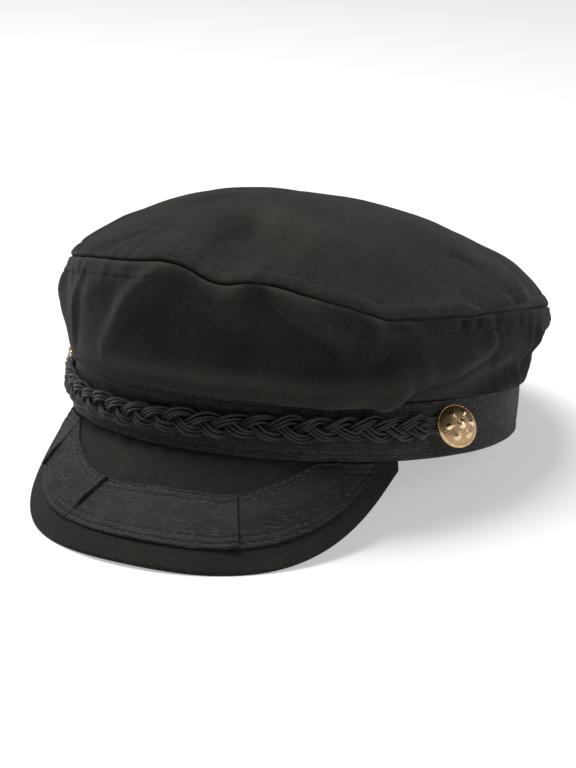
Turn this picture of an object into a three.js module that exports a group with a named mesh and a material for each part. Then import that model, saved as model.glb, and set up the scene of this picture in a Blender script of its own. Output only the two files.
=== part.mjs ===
// A Breton fisherman's cap at rest on a table: a soft cotton crown of a top panel and two side
// panels, a stiff band faced with ribbon, a curved peak with a pleated ribbon, a plaited cord
// across the front and a brass button at each end of it.
// Millimetres, +Z up, the peak towards -Y. The cap leans back a little, because it rests on the
// front edge of its peak and on the back of its band.
import * as THREE from "three";

// Band: a stiffened cloth wall round the head, with a ribbon sewn on the outside
const headLength = 197;
const headWidth = 170.8;
const bandHeight = 22;
const bandCloth = 1.8;
const ribbonCloth = 0.8;
const ribbonInset = 1.4; // the ribbon's lower edge stays this far above the band's
const gap = 0.3; // clearance between pieces that are sewn together

// Crown: cotton panels, fuller at the back than at the front
const crownCloth = 1.5;
const seamHeight = 47.5; // top seam above the band at the front
const seamReach = 8; // how far the top seam stands out beyond the band at the sides
const rollDepth = 5; // how far the soft side panel rolls out over the band
const domeRise = 31.2; // rise of the top panel above its seam
const domeFullness = 2.7; // a higher number makes the panel steeper at its seam
const foldDepth = 5; // depth of the deepest dents in the cloth
const sideSeamAngle = 88; // vertical seams, from the front

// Peak: a bent board covered in cloth
const peakLength = 50.8;
const peakTail = 3.5; // length of the peak at its two ends
const peakCloth = 2.6;
const peakHalfAngle = 56;
const peakSlope = 46.5; // below the band's plane, at the middle
const peakEndSlope = 58;
const peakTurn = 0.68; // how far the peak's lines turn outwards along the band
const peakDome = 1.2;
const peakEnds = 0.985; // the board stops this share of the way to its two points

// Pleated ribbon on the peak
const ribbonWidth = 24.5;
const ribbonMargin = 9; // from the peak's edge, at the middle
const ribbonMarginEnd = 12;
const tuckRise = 0.9; // a pleat stands this much above the ribbon
const tuckRun = 9; // length over which it runs out
const tuckPlaces = [-0.66, -0.22, 0.33, 0.72]; // along the peak, as shares of its half width
const ribbonEnds = 0.9; // the ribbon stops this share of the way to the peak's ends

// Plaited cord of three strands
const cordHeight = 12.9; // middle of the plait above the band's lower edge
const cordDroop = 3.4; // it hangs this much lower in the middle of the cap's right front
const droopAngle = -20;
const droopSpread = 34;
const plaitPitch = 30;
const plaitSwing = 3.3; // from the plait's middle line to a strand's
const plaitDepth = 1.4;
const strandWidth = 3.1;
const strandThick = 1.7;
const cordEnd = 14; // the plait loosens over this length and passes flat under a button

// Buttons
const buttonAngle = 67.7; // from the front, to the button on the wearer's left
const farButtonAngle = 77; // and to the one on the wearer's right
const buttonRadius = 8.4;
const buttonDome = 4.4;
const buttonRim = 0.9;
const buttonStand = 5.6; // its back stands this far off the ribbon
const buttonLift = 26; // it hangs askew on its shank: this far upwards
const buttonTurn = 16; // and this far towards the front
const shankRadius = 1.6;
const shankFlare = 0.5; // the shank widens this much where it meets the button
const spokes = 6;
const reliefHeight = 0.55;
const loosened = 0.3; // share of their size that the strands lose on the way under a button

const settleDepth = 0.9; // cloth pressed flat where it rests
const settleRun = 0.9; // width of the flat at the peak's edge

const rad = THREE.MathUtils.degToRad;
const smooth = (x) => THREE.MathUtils.smoothstep(x, 0, 1);
const bump = (x) => Math.exp(-x * x);

// Half axes of an oval that lies outside the head opening by the given distance
const oval = (out) => ({ a: headLength / 2 + out, b: headWidth / 2 + out });
const ribbonFace = bandCloth + gap + ribbonCloth;

// A point on an oval, its angle measured from the front towards +X
function onOval({ a, b }, angle, z = 0) {
  return new THREE.Vector3(b * Math.sin(angle), -a * Math.cos(angle), z);
}

// Direction square to the oval, in plan
function outward({ a, b }, angle) {
  return new THREE.Vector3(Math.sin(angle) / b, -Math.cos(angle) / a, 0).normalize();
}

// Smooth curve through a table's column: angles in degrees repeat every turn, other keys run once
function through(table, key, column, x, turns = false) {
  const n = table.length;
  const period = 360;
  const at = (i) => {
    if (turns) {
      const k = ((i % n) + n) % n;
      return [table[k][key] + period * Math.floor(i / n), table[k][column]];
    }
    const k = THREE.MathUtils.clamp(i, 0, n - 1);
    return [table[k][key] + (i - k) * (table[n - 1][key] - table[n - 2][key]), table[k][column]];
  };
  let i = 0;
  while (i < n - (turns ? 0 : 2) && at(i + 1)[0] <= x) i += 1;
  const [before, start, end, after] = [at(i - 1), at(i), at(i + 1), at(i + 2)];
  const span = end[0] - start[0];
  const t = (x - start[0]) / span;
  const slopeIn = ((end[1] - before[1]) / (end[0] - before[0])) * span;
  const slopeOut = ((after[1] - start[1]) / (after[0] - start[0])) * span;
  const [t2, t3] = [t * t, t * t * t];
  const values = (2 * t3 - 3 * t2 + 1) * start[1] + (3 * t2 - 2 * t3) * end[1];
  return values + (t3 - 2 * t2 + t) * slopeIn + (t3 - t2) * slopeOut;
}

// Turns a face with its thickness into one closed body. point(i, j, side) gives the outer side (1)
// and the inner side (0) of a grid; wrap joins the last column to the first, and pole closes the
// last row to a point.
function shell(columns, rows, point, { wrap = false, pole = false } = {}) {
  const positions = [];
  const index = new Map();
  const vertex = (i, j, side) => {
    const column = wrap ? i % columns : i;
    const key = pole && j === rows ? `pole${side}` : `${column},${j},${side}`;
    if (!index.has(key)) {
      index.set(key, positions.length / 3);
      positions.push(...point(pole && j === rows ? 0 : column, j, side).toArray());
    }
    return index.get(key);
  };
  const triangles = [];
  const quad = (p, q, r, s) => {
    for (const t of [[p, q, r], [p, r, s]]) {
      if (new Set(t).size === 3) triangles.push(...t);
    }
  };
  for (let i = 0; i < columns; i += 1) {
    for (let j = 0; j < rows; j += 1) {
      quad(vertex(i, j, 1), vertex(i + 1, j, 1), vertex(i + 1, j + 1, 1), vertex(i, j + 1, 1));
      quad(vertex(i, j, 0), vertex(i, j + 1, 0), vertex(i + 1, j + 1, 0), vertex(i + 1, j, 0));
    }
    const k = i + 1;
    quad(vertex(i, 0, 0), vertex(k, 0, 0), vertex(k, 0, 1), vertex(i, 0, 1));
    if (!pole) quad(vertex(i, rows, 1), vertex(k, rows, 1), vertex(k, rows, 0), vertex(i, rows, 0));
  }
  if (!wrap) {
    const last = columns;
    for (let j = 0; j < rows; j += 1) {
      quad(vertex(0, j, 0), vertex(0, j, 1), vertex(0, j + 1, 1), vertex(0, j + 1, 0));
      quad(vertex(last, j, 1), vertex(last, j, 0), vertex(last, j + 1, 0), vertex(last, j + 1, 1));
    }
  }
  return solid(positions, triangles);
}

// Rings of points joined along their length, with both ends closed
function loft(rings) {
  const count = rings[0].length;
  const positions = rings.flat().flatMap((p) => p.toArray());
  const triangles = [];
  for (let i = 0; i + 1 < rings.length; i += 1) {
    const [here, there] = [i * count, (i + 1) * count];
    for (let k = 0; k < count; k += 1) {
      const next = (k + 1) % count;
      triangles.push(here + k, here + next, there + next, here + k, there + next, there + k);
    }
  }
  for (const [ring, flip] of [[0, true], [rings.length - 1, false]]) {
    const centre = positions.length / 3;
    const mid = rings[ring].reduce((sum, p) => sum.add(p), new THREE.Vector3()).divideScalar(count);
    positions.push(...mid.toArray());
    for (let k = 0; k < count; k += 1) {
      const [p, q] = [ring * count + k, ring * count + ((k + 1) % count)];
      triangles.push(centre, ...(flip ? [q, p] : [p, q]));
    }
  }
  return solid(positions, triangles);
}

// A geometry whose faces point out
function solid(positions, triangles) {
  let volume = 0;
  const corner = (k) => new THREE.Vector3().fromArray(positions, 3 * k);
  for (let t = 0; t < triangles.length; t += 3) {
    const [p, q, r] = [corner(triangles[t]), corner(triangles[t + 1]), corner(triangles[t + 2])];
    volume += p.dot(q.cross(r));
  }
  if (volume < 0) {
    for (let t = 0; t < triangles.length; t += 3) {
      [triangles[t + 1], triangles[t + 2]] = [triangles[t + 2], triangles[t + 1]];
    }
  }
  const geometry = new THREE.BufferGeometry();
  geometry.setAttribute("position", new THREE.Float32BufferAttribute(positions, 3));
  geometry.setIndex(triangles);
  geometry.computeVertexNormals();
  return geometry;
}

// Unit normal of a face given by two parameters, from short steps along both
function normalOf(face, u, v) {
  const step = 1e-3;
  const du = face(u + step, v).sub(face(u - step, v));
  const dv = face(u, v + step).sub(face(u, v - step));
  return du.cross(dv).normalize();
}

// Peak: straight lines run out and down from under the band, longest in the middle. u goes from
// end to end (-1 to 1) and run is the distance out from the band.
const peakRoot = oval(bandCloth);
function peakReach(u) {
  const roundness = 3.36;
  const fullness = 1.23;
  const inside = Math.max(0, 1 - Math.abs(u) ** roundness);
  return peakTail + (peakLength - peakTail) * inside ** fullness;
}
function peakFace(u, run) {
  const angle = u * rad(peakHalfAngle);
  const slope = rad(peakSlope + (peakEndSlope - peakSlope) * u * u);
  const square = outward(peakRoot, angle);
  const turn = Math.atan2(square.x, -square.y) * peakTurn;
  const share = run / peakReach(u);
  const dome = 4 * share * (1 - share) * peakDome * (peakReach(u) / peakLength);
  const point = onOval(peakRoot, angle, -gap);
  point.x += Math.sin(turn) * Math.cos(slope) * run;
  point.y -= Math.cos(turn) * Math.cos(slope) * run;
  point.z -= Math.sin(slope) * run - dome;
  return point;
}
function peakPoint(u, run, lift) {
  const normal = normalOf((along, across) => peakFace(across, along), run, u);
  return peakFace(u, run).addScaledVector(normal, lift);
}

// The floor as the cap sees it: leaning back until the peak and the band touch it together
function lowest(points, up) {
  return Math.min(...points.map((p) => p.dot(up)));
}
function restingFloor() {
  const peakEdge = [];
  const bandEdge = [];
  for (let k = -60; k <= 60; k += 1) {
    const u = k / 62;
    peakEdge.push(peakPoint(u, peakReach(u), -peakCloth));
    bandEdge.push(onOval(oval(bandCloth), (k / 60) * Math.PI));
  }
  let [low, high] = [0, Math.PI / 4];
  const upAt = (tilt) => new THREE.Vector3(0, -Math.sin(tilt), Math.cos(tilt));
  for (let k = 0; k < 40; k += 1) {
    const tilt = (low + high) / 2;
    if (lowest(peakEdge, upAt(tilt)) < lowest(bandEdge, upAt(tilt))) low = tilt;
    else high = tilt;
  }
  return { tilt: low, up: upAt(low), level: lowest(bandEdge, upAt(low)) + settleDepth };
}
const floor = restingFloor();
function settled(point) {
  const below = floor.level - point.dot(floor.up);
  return below > 0 ? point.addScaledVector(floor.up, below) : point;
}

// Heights of the top seam round the cap, as shares of its height at the front
const seamTable = [
  { angle: 0, height: 1.0, reach: 0.75 },
  { angle: 11, height: 0.92, reach: 0.7 },
  { angle: 19, height: 0.94, reach: 0.75 },
  { angle: 31, height: 0.85, reach: 0.78 },
  { angle: 46, height: 0.72, reach: 0.82 },
  { angle: 62, height: 0.72, reach: 0.88 },
  { angle: 84, height: 0.71, reach: 0.92 },
  { angle: 102, height: 0.63, reach: 0.92 },
  { angle: 120, height: 0.53, reach: 1.0 },
  { angle: 150, height: 0.47, reach: 1.35 },
  { angle: 180, height: 0.45, reach: 1.6 },
  { angle: 210, height: 0.47, reach: 1.35 },
  { angle: 240, height: 0.54, reach: 1.0 },
  { angle: 270, height: 0.64, reach: 0.7 },
  { angle: 300, height: 0.76, reach: 0.42 },
  { angle: 330, height: 0.93, reach: 0.62 },
  { angle: 349, height: 0.99, reach: 0.72 },
];

// Profile of the side panel from the band (level 0) to the top seam (level 1): rise is a share of
// the seam's height, seam a share of its reach, roll a share of the roll's depth, sag a share of it
const sideProfile = [
  { level: 0, rise: 0, seam: 0, roll: -0.2, sag: 0 },
  { level: 0.07, rise: 0.005, seam: 0, roll: 0.35, sag: 0.14 },
  { level: 0.15, rise: 0.04, seam: 0.05, roll: 0.8, sag: 0.16 },
  { level: 0.25, rise: 0.14, seam: 0.15, roll: 0.95, sag: 0 },
  { level: 0.4, rise: 0.33, seam: 0.35, roll: 0.85, sag: 0 },
  { level: 0.6, rise: 0.6, seam: 0.65, roll: 0.75, sag: 0 },
  { level: 0.8, rise: 0.84, seam: 0.95, roll: 0.4, sag: 0 },
  { level: 0.92, rise: 0.96, seam: 1.0, roll: 0.15, sag: 0 },
  { level: 1, rise: 1, seam: 1, roll: 0, sag: 0 },
];

// Dents (negative) and swells of the side panel: where they lie, how far they spread, how they
// lean (degrees of angle for one of level) and their depth as a share of foldDepth
const sideFolds = [
  { angle: 12, level: 0.52, wide: 30, tall: 0.2, lean: 0, depth: -0.75 },
  { angle: 44, level: 0.62, wide: 14, tall: 0.22, lean: 20, depth: -0.45 },
  { angle: -28, level: 0.7, wide: 8, tall: 0.2, lean: 40, depth: 0.3 },
  { angle: 62, level: 0.3, wide: 14, tall: 0.18, lean: 70, depth: 0.55 },
  { angle: 84, level: 0.32, wide: 13, tall: 0.16, lean: 60, depth: -0.9 },
  { angle: 122, level: 0.5, wide: 18, tall: 0.12, lean: 0, depth: -0.75 },
  { angle: 122, level: 0.24, wide: 20, tall: 0.16, lean: 0, depth: -0.7 },
  { angle: 122, level: 0.78, wide: 18, tall: 0.14, lean: 0, depth: 0.3 },
  { angle: 150, level: 0.45, wide: 12, tall: 0.2, lean: 40, depth: -0.7 },
  { angle: 196, level: 0.4, wide: 14, tall: 0.2, lean: -50, depth: -0.8 },
  { angle: 232, level: 0.5, wide: 14, tall: 0.16, lean: 30, depth: -0.7 },
  { angle: 268, level: 0.35, wide: 12, tall: 0.2, lean: -50, depth: -0.6 },
  { angle: 302, level: 0.2, wide: 25, tall: 0.16, lean: 0, depth: -0.55 },
  { angle: 302, level: 0.62, wide: 12, tall: 0.2, lean: 10, depth: 0.25 },
];

// Dents and swells of the top panel: inward runs from the seam (0) to the middle (1)
const topFolds = [
  { angle: 14, inward: 0.3, wide: 14, long: 0.2, depth: -0.5 },
  { angle: 62, inward: 0.12, wide: 9, long: 0.22, depth: -0.45 },
  { angle: 98, inward: 0.14, wide: 8, long: 0.14, depth: -0.5 },
  { angle: 118, inward: 0.15, wide: 24, long: 0.15, depth: 0.55 },
  { angle: 145, inward: 0.5, wide: 40, long: 0.3, depth: -0.45 },
  { angle: 215, inward: 0.3, wide: 20, long: 0.25, depth: -0.5 },
  { angle: 285, inward: 0.3, wide: 16, long: 0.2, depth: -0.3 },
];

// Shortest way round from one angle to another, in degrees
const turnBetween = (from, to) => ((to - from + 540) % 360) - 180;

function seamPoint(angle) {
  const base = oval(ribbonFace);
  const reach = seamReach * through(seamTable, "angle", "reach", angle, true);
  const height = seamHeight * through(seamTable, "angle", "height", angle, true);
  const point = onOval(base, rad(angle), bandHeight + gap + height);
  return point.addScaledVector(outward(base, rad(angle)), reach);
}

// Outer face of the side panel
function sideFace(angle, level) {
  const turned = ((angle % 360) + 360) % 360;
  const base = oval(ribbonFace);
  const column = (name) => through(sideProfile, "level", name, level);
  let reach = seamReach * through(seamTable, "angle", "reach", turned, true) * column("seam");
  reach += rollDepth * column("roll");
  for (const fold of sideFolds) {
    const across = turnBetween(fold.angle + fold.lean * (level - fold.level), turned) / fold.wide;
    const along = (level - fold.level) / fold.tall;
    const ends = smooth(level / 0.15) * smooth((1 - level) / 0.12);
    reach += foldDepth * fold.depth * bump(across) * bump(along) * ends;
  }
  const height = seamHeight * through(seamTable, "angle", "height", turned, true) * column("rise");
  const z = bandHeight + gap + height - rollDepth * column("sag");
  return onOval(base, rad(turned), z).addScaledVector(outward(base, rad(turned)), reach);
}

// Outer face of the top panel, from the seam (0) to the middle (1). The panel follows a sloping
// plane through the seam's front and back, and the seam's own waves fade towards the middle.
const topFront = seamPoint(0);
const topBack = seamPoint(180);
const topCentre = topFront.clone().add(topBack).multiplyScalar(0.5);
function topFace(angle, inward) {
  const turned = ((angle % 360) + 360) % 360;
  const edge = seamPoint(turned);
  const plane = THREE.MathUtils.mapLinear(edge.y, topFront.y, topBack.y, topFront.z, topBack.z);
  const point = edge.clone().lerp(topCentre, inward);
  const left = 1 - inward;
  point.z = topCentre.z + (plane - topCentre.z) * left + (edge.z - plane) * left * left;
  point.z += domeRise * (1 - left ** domeFullness);
  for (const fold of topFolds) {
    const across = turnBetween(fold.angle, turned) / fold.wide;
    const along = (inward - fold.inward) / fold.long;
    const ends = smooth(inward / 0.08) * smooth(left * 2);
    point.z += foldDepth * fold.depth * bump(across) * bump(along) * ends;
  }
  return point;
}

const cloth = { color: 0x23211f, roughness: 0.9, metalness: 0 };
const ribbon = { color: 0x232527, roughness: 0.55, metalness: 0 };
const cord = { color: 0x19191c, roughness: 0.45, metalness: 0 };
const brass = { color: 0xb08a4a, roughness: 0.35, metalness: 1 };
function piece(name, geometry, look) {
  const mesh = new THREE.Mesh(geometry, new THREE.MeshStandardMaterial(look));
  mesh.name = name;
  return mesh;
}

// Crown
function sidePanel(from, to, columns) {
  const rows = 12;
  const edge = THREE.MathUtils.radToDeg(gap / 2 / (headLength / 2));
  return shell(columns, rows, (i, j, side) => {
    const angle = THREE.MathUtils.lerp(from + edge, to - edge, i / columns);
    const level = j / rows;
    const inner = THREE.MathUtils.clamp(level, 0.002, 0.998);
    const normal = normalOf(sideFace, angle, inner);
    return sideFace(angle, level).addScaledVector(normal, side ? 0 : -crownCloth);
  });
}
function topPanel() {
  const columns = 60;
  const rows = 8;
  return shell(columns, rows, (i, j, side) => {
    const angle = (i / columns) * 360;
    const inward = (j / rows) ** 1.15;
    const clear = gap + crownCloth * 0.2;
    const point = topFace(angle, inward);
    point.z += clear;
    const upright = new THREE.Vector3(0, 0, 1);
    const normal = j === rows ? upright : normalOf(topFace, angle, Math.max(inward, 0.01));
    return point.addScaledVector(normal, side ? crownCloth : 0);
  }, { wrap: true, pole: true });
}

// Band and its ribbon
function ring(inner, outer, bottom, top) {
  const columns = 60;
  return shell(columns, 1, (i, j, side) => {
    const angle = (i / columns) * 2 * Math.PI;
    return settled(onOval(oval(side ? outer : inner), angle, j ? top : bottom));
  }, { wrap: true });
}

// Peak and its ribbon
function peakBoard() {
  const columns = 30;
  const rows = 5;
  return shell(columns, rows, (i, j, side) => {
    const u = ((i / columns) * 2 - 1) * peakEnds;
    const inner = peakReach(u) - settleRun;
    const run = j === rows ? peakReach(u) : (j / (rows - 1)) * inner;
    return settled(peakPoint(u, run, side ? 0 : -peakCloth));
  });
}

function peakRibbon() {
  const step = 0.008; // a pleat's own edge, along the peak
  const rows = 3;
  const places = [];
  for (let k = -16; k <= 16; k += 1) places.push((k / 16) * ribbonEnds);
  for (const place of tuckPlaces) places.push(place - step, place);
  places.sort((p, q) => p - q);
  const kept = places.filter((p, k) => k === 0 || p - places[k - 1] > step / 2);
  const pleat = (u) => {
    let rise = 0;
    for (const place of tuckPlaces) {
      const run = (place - u) * rad(peakHalfAngle) * (headWidth / 2 + peakLength / 2);
      if (run > 0 && run < tuckRun) rise = tuckRise * smooth(1 - run / tuckRun);
    }
    return rise;
  };
  return shell(kept.length - 1, rows, (i, j, side) => {
    const u = kept[i];
    const outer = peakReach(u) - ribbonMargin - (ribbonMarginEnd - ribbonMargin) * u * u;
    const inner = Math.max(outer - ribbonWidth, gap * 4);
    const run = THREE.MathUtils.lerp(Math.min(inner, outer - 1), outer, j / rows);
    return peakPoint(u, run, gap + (side ? ribbonCloth + pleat(u) : 0));
  });
}

// Plait: three strands that swing from side to side and pass over and under each other
const cordWall = oval(ribbonFace + gap);
function cordPlaces(steps) {
  const fine = 400;
  const angles = [];
  const lengths = [0];
  for (let k = 0; k <= fine; k += 1) {
    angles.push(rad(-farButtonAngle + (farButtonAngle + buttonAngle) * (k / fine)));
    if (k === 0) continue;
    const [here, last] = [onOval(cordWall, angles[k]), onOval(cordWall, angles[k - 1])];
    lengths.push(lengths[k - 1] + here.distanceTo(last));
  }
  const whole = lengths[fine];
  const places = [];
  for (let k = 0, at = 0; k <= steps; k += 1) {
    const length = (whole * k) / steps;
    while (at < fine - 1 && lengths[at + 1] < length) at += 1;
    const share = (length - lengths[at]) / (lengths[at + 1] - lengths[at]);
    places.push({ length, angle: THREE.MathUtils.lerp(angles[at], angles[at + 1], share) });
  }
  return { places, whole };
}
function strand(which) {
  const sides = 6;
  const start = shankRadius + 1.2;
  const flatFrom = buttonRadius + 0.8;
  const { places, whole } = cordPlaces(84);
  const turns = Math.round((whole - 2 * cordEnd) / (plaitPitch / 6)) / 6;
  const rings = [];
  for (const { length, angle } of places) {
    const toEnd = Math.min(length, whole - length);
    if (toEnd < start) continue;
    const loose = smooth((cordEnd - toEnd) / (cordEnd - flatFrom));
    const along = THREE.MathUtils.clamp((length - cordEnd) / (whole - 2 * cordEnd), 0, 1);
    const phase = 2 * Math.PI * (along * turns + which / 3);
    const width = strandWidth * (1 - loosened * loose);
    const thick = strandThick * (1 - loosened * loose);
    const depth = plaitDepth * (1 - loose);
    const rise = plaitSwing * Math.sin(phase);
    const stand = thick / 2 + depth + depth * Math.sin(2 * phase);
    const out = outward(cordWall, angle);
    const droop = bump((THREE.MathUtils.radToDeg(angle) - droopAngle) / droopSpread);
    const height = cordHeight - cordDroop * droop * (1 - loose) + rise;
    const centre = onOval(cordWall, angle, height).addScaledVector(out, stand);
    rings.push(Array.from({ length: sides }, (_, k) => {
      const round = (2 * Math.PI * (k + 0.5)) / sides;
      const point = centre.clone().addScaledVector(out, (thick / 2) * Math.sin(round));
      point.z += (width / 2) * Math.cos(round);
      return point;
    }));
  }
  return loft(rings);
}

// Button: a struck brass dome with a hub, spokes and knobs raised on it, askew on its shank
function relief(share, angle) {
  const toSpoke = Math.abs((((angle * spokes) / (2 * Math.PI)) % 1) - 0.5) * 2;
  const hub = bump(share / 0.15) * 1.5;
  const knob = bump((share - 0.62) / 0.1) * bump((1 - toSpoke) / 0.3);
  const spoke = bump((1 - toSpoke) / 0.22) * smooth((0.62 - share) / 0.2) * 0.6;
  return reliefHeight * (hub + knob + spoke) * smooth((0.9 - share) / 0.1);
}
function button(toFront) {
  const around = 30;
  const circle = (radius, height) => Array.from({ length: around }, (_, k) => {
    const angle = (2 * Math.PI * k) / around;
    return new THREE.Vector3(radius * Math.cos(angle), radius * Math.sin(angle), height);
  });
  const head = [
    circle(shankRadius + shankFlare, 0),
    circle(buttonRadius * 0.93, 0),
    circle(buttonRadius, buttonRim * 0.4),
    circle(buttonRadius, buttonRim),
  ];
  for (const share of [0.93, 0.82, 0.72, 0.62, 0.5, 0.36, 0.24, 0.12]) {
    const height = buttonRim + buttonDome * Math.sqrt(1 - share * share);
    const ring = circle(share * buttonRadius, height);
    ring.forEach((point) => {
      point.z += relief(share, Math.atan2(point.y, point.x) + 2 * Math.PI);
    });
    head.push(ring);
  }
  const askew = new THREE.Euler(-rad(buttonLift), rad(buttonTurn) * toFront, 0);
  head.flat().forEach((point) => point.applyEuler(askew).setZ(point.z + buttonStand));
  return loft([circle(shankRadius, gap), ...head]);
}
function placedButton(name, turn) {
  const mesh = piece(name, button(-turn), brass);
  const angle = rad(turn > 0 ? buttonAngle : -farButtonAngle);
  const face = oval(ribbonFace);
  mesh.position.copy(onOval(face, angle, cordHeight));
  mesh.quaternion.setFromRotationMatrix(new THREE.Matrix4().makeBasis(
    new THREE.Vector3(0, 0, 1).cross(outward(face, angle)),
    new THREE.Vector3(0, 0, 1),
    outward(face, angle),
  ));
  return mesh;
}

const leaning = new THREE.Group();
leaning.add(
  piece("crown_top", topPanel(), cloth),
  piece("crown_side_front", sidePanel(-sideSeamAngle, sideSeamAngle, 38), cloth),
  piece("crown_side_back", sidePanel(sideSeamAngle, 360 - sideSeamAngle, 25), cloth),
  piece("headband", ring(0, bandCloth, 0, bandHeight), cloth),
  piece("band_ribbon", ring(bandCloth + gap, ribbonFace, ribbonInset, bandHeight), ribbon),
  piece("peak", peakBoard(), cloth),
  piece("peak_ribbon", peakRibbon(), ribbon),
  piece("braid_strand_1", strand(0), cord),
  piece("braid_strand_2", strand(1), cord),
  piece("braid_strand_3", strand(2), cord),
  placedButton("button_left", 1),
  placedButton("button_right", -1),
);
leaning.rotation.x = -floor.tilt;
leaning.position.z = -floor.level;

// The origin is on the floor, under the middle of the cap
const cap = new THREE.Group();
cap.add(leaning);
cap.updateMatrixWorld(true);
const middle = new THREE.Box3().setFromObject(cap, true).getCenter(new THREE.Vector3());
cap.position.set(-middle.x, -middle.y, 0);

export default cap;
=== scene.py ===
import math
import bpy
import numpy as np
from mathutils import Matrix


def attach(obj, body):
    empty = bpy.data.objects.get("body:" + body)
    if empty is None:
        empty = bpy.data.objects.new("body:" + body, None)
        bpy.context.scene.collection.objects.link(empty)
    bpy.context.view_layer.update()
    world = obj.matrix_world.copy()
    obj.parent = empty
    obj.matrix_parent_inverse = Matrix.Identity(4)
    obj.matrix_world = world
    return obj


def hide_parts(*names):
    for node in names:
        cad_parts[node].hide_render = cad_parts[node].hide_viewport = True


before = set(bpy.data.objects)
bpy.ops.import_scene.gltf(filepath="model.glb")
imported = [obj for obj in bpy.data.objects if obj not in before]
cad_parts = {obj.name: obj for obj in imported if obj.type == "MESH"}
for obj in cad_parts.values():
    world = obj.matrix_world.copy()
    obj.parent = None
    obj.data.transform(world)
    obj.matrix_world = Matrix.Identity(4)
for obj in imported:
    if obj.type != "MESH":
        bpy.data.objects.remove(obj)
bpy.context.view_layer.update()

# Headband
# A stiffened cotton wall that goes round the head. It stands a little askew on the table,
# because the cap rests on its peak's edge and on the back of this wall, which is pressed flat.
head_length = 197.0
head_width = 170.8
band_height = 22.0
band_cloth = 1.8
gap = 0.3
head_round = 578.0
lean_back = math.radians(9.687355522696635)
band_centre = np.array([-0.813961, 9.207428, 15.977666])


def on_table(points, pressed=True):
    """From the cap's own frame (x to the wearer's left, y to the back, z up from the band's lower
    edge) to the table's: turned back about x, moved, and pressed flat where it would go below 0."""
    c, s = math.cos(lean_back), math.sin(lean_back)
    turn = np.array([[1, 0, 0], [0, c, s], [0, -s, c]])
    placed = points @ turn.T + band_centre
    if pressed:
        placed[..., 2] = np.maximum(placed[..., 2], 0)
    return placed


def joined(*parts):
    """Arrays brought to one shape and stacked as its last axis."""
    return np.stack(np.broadcast_arrays(*parts), -1)


def round_head(angle, out, z, step=0.0):
    """A point at an angle in degrees from the front on the oval that lies out beyond the head
    opening, then moved step square to that oval."""
    a, b = head_length / 2 + out, head_width / 2 + out
    r = np.radians(angle)
    nx, ny = np.sin(r) / b, -np.cos(r) / a
    size = np.hypot(nx, ny)
    return joined(b * np.sin(r) + step * nx / size, -a * np.cos(r) + step * ny / size, z)


def cloth_body(name, outer, inner, chart, wrap=False, pole=False):
    """One closed body from two grids of points (columns, rows, 3) in the cap's frame, in
    millimetres: the outer face, the inner face the other way round and strips along the open
    edges. The inner grid may be coarser by whole factors. chart gives the outer grid's UV."""

    def numbered(grid, first):
        n, m = grid.shape[0], grid.shape[1]
        columns = n - 1 if wrap else n
        index = first + (np.arange(n) % columns)[:, None] * m + np.arange(m)[None]
        if pole:
            index[:, -1] = index[0, -1]
        return index, grid[:columns].reshape(-1, 3)

    io, po = numbered(outer, 0)
    ii, pi = numbered(inner, len(po))
    every = [(o - 1) // (i - 1) for o, i in zip(outer.shape[:2], inner.shape[:2])]
    chart_in = chart[:: every[0], :: every[1]]
    faces, corners = [], []

    def add(index, uv):
        faces.append(index.reshape(-1, index.shape[-1]))
        corners.append(uv.reshape(-1, index.shape[-1], 2))

    def cells(index, uv, flip):
        order = [(0, 0), (1, 0), (1, 1), (0, 1)]
        if flip:
            order = order[::-1]
        n, m = index.shape[0] - 1, index.shape[1] - 1
        whole = m - 1 if pole else m
        add(
            np.stack([index[i : n + i, j : whole + j] for i, j in order], -1),
            np.stack([uv[i : n + i, j : whole + j] for i, j in order], -2),
        )
        if pole:
            tip = [(0, 0), (1, 0), (0, 1)]
            if flip:
                tip = tip[::-1]
            add(
                np.stack([index[i : n + i, m - 1 + j] for i, j in tip], -1),
                np.stack([uv[i : n + i, m - 1 + j] for i, j in tip], -2),
            )

    def strip(a, ua, b, flip):
        many = (len(a) - 1) // (len(b) - 1)
        q = np.arange(len(a) - 1) // many
        tri = [a[1:], a[:-1], b[q]]
        uvs = [ua[1:], ua[:-1], ua[1:]]
        add(np.stack(tri[::-1] if flip else tri, -1), np.stack(uvs[::-1] if flip else uvs, -2))
        tri = [a[many::many], b[:-1], b[1:]]
        uvs = [ua[many::many]] * 3
        add(np.stack(tri[::-1] if flip else tri, -1), np.stack(uvs, -2))

    cells(io, chart, False)
    cells(ii, chart_in, True)
    strip(io[:, 0], chart[:, 0], ii[:, 0], False)
    if not pole:
        strip(io[:, -1], chart[:, -1], ii[:, -1], True)
    if not wrap:
        strip(io[0], chart[0], ii[0], True)
        strip(io[-1], chart[-1], ii[-1], False)
    return made(name, on_table(np.concatenate([po, pi])) / 1000, faces, corners)


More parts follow.
